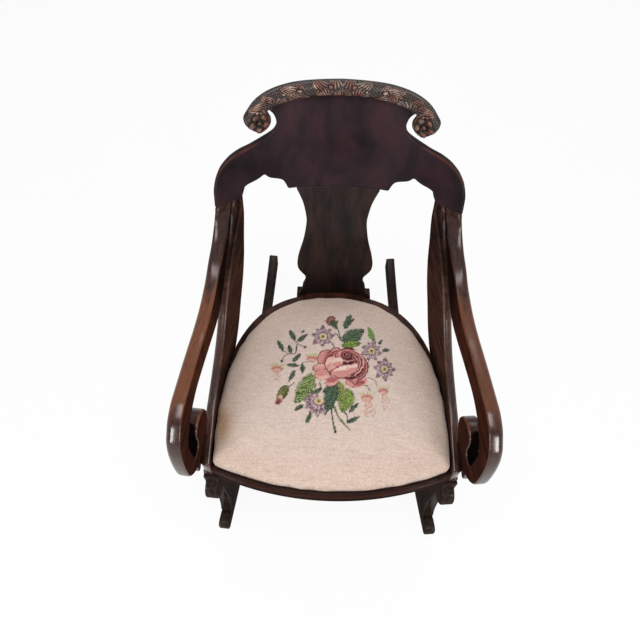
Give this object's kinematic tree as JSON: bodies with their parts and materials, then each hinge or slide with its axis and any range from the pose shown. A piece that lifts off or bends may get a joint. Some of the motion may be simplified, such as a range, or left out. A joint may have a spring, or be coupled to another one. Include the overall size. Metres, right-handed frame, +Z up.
{
  "type": "rocking armchair",
  "caption": "Rocking armchair with a curved gondola back, carved crest, waisted splat, scrolled arms, drop-in needlepoint seat and long bent runners.",
  "frame": {"origin": "on the floor under the middle of the chair's outline", "axes": "+Z up, the sitter faces -Y, +Y towards the tails of the runners, +X to the right as seen from the front"},
  "size_m": [0.6156, 0.8608, 0.9195],
  "materials": {
    "mahogany": "gloss",
    "carved_mahogany": "gloss",
    "beech": "matte",
    "steel": "satin",
    "jute": "matte",
    "stuffing": "matte",
    "needlepoint": "matte",
    "black_cloth": "matte"
  },
  "bodies": {
    "frame": {"crest_board": "mahogany", "crest_carving": "carved_mahogany", "left_rosette": "carved_mahogany", "right_rosette": "carved_mahogany", "splat": "mahogany", "splat_shoe": "mahogany", "left_stile": "mahogany", "right_stile": "mahogany", "left_arm": "mahogany", "right_arm": "mahogany", "left_scroll_block": "mahogany", "right_scroll_block": "mahogany", "front_rail": "mahogany", "left_rail": "mahogany", "right_rail": "mahogany", "back_rail": "mahogany", "left_front_block": "beech", "right_front_block": "beech", "left_rear_block": "beech", "right_rear_block": "beech", "block_screws": "steel", "left_front_leg": "mahogany", "right_front_leg": "mahogany", "left_rear_leg": "mahogany", "right_rear_leg": "mahogany", "left_rocker": "mahogany", "right_rocker": "mahogany", "rocker_screws": "steel"},
    "seat": {"slip_front": "beech", "slip_back": "beech", "slip_left": "beech", "slip_right": "beech", "webbing_long": "jute", "webbing_cross": "jute", "seat_pad": "stuffing", "seat_cover": "needlepoint", "dust_cover": "black_cloth", "seat_tacks": "steel"}
  },
  "joints": [
    {"name": "seat_lift", "type": "slide", "parent": "frame", "child": "seat", "axis": [0, 0, 1], "range_m": [0, 0.12]}
  ]
}
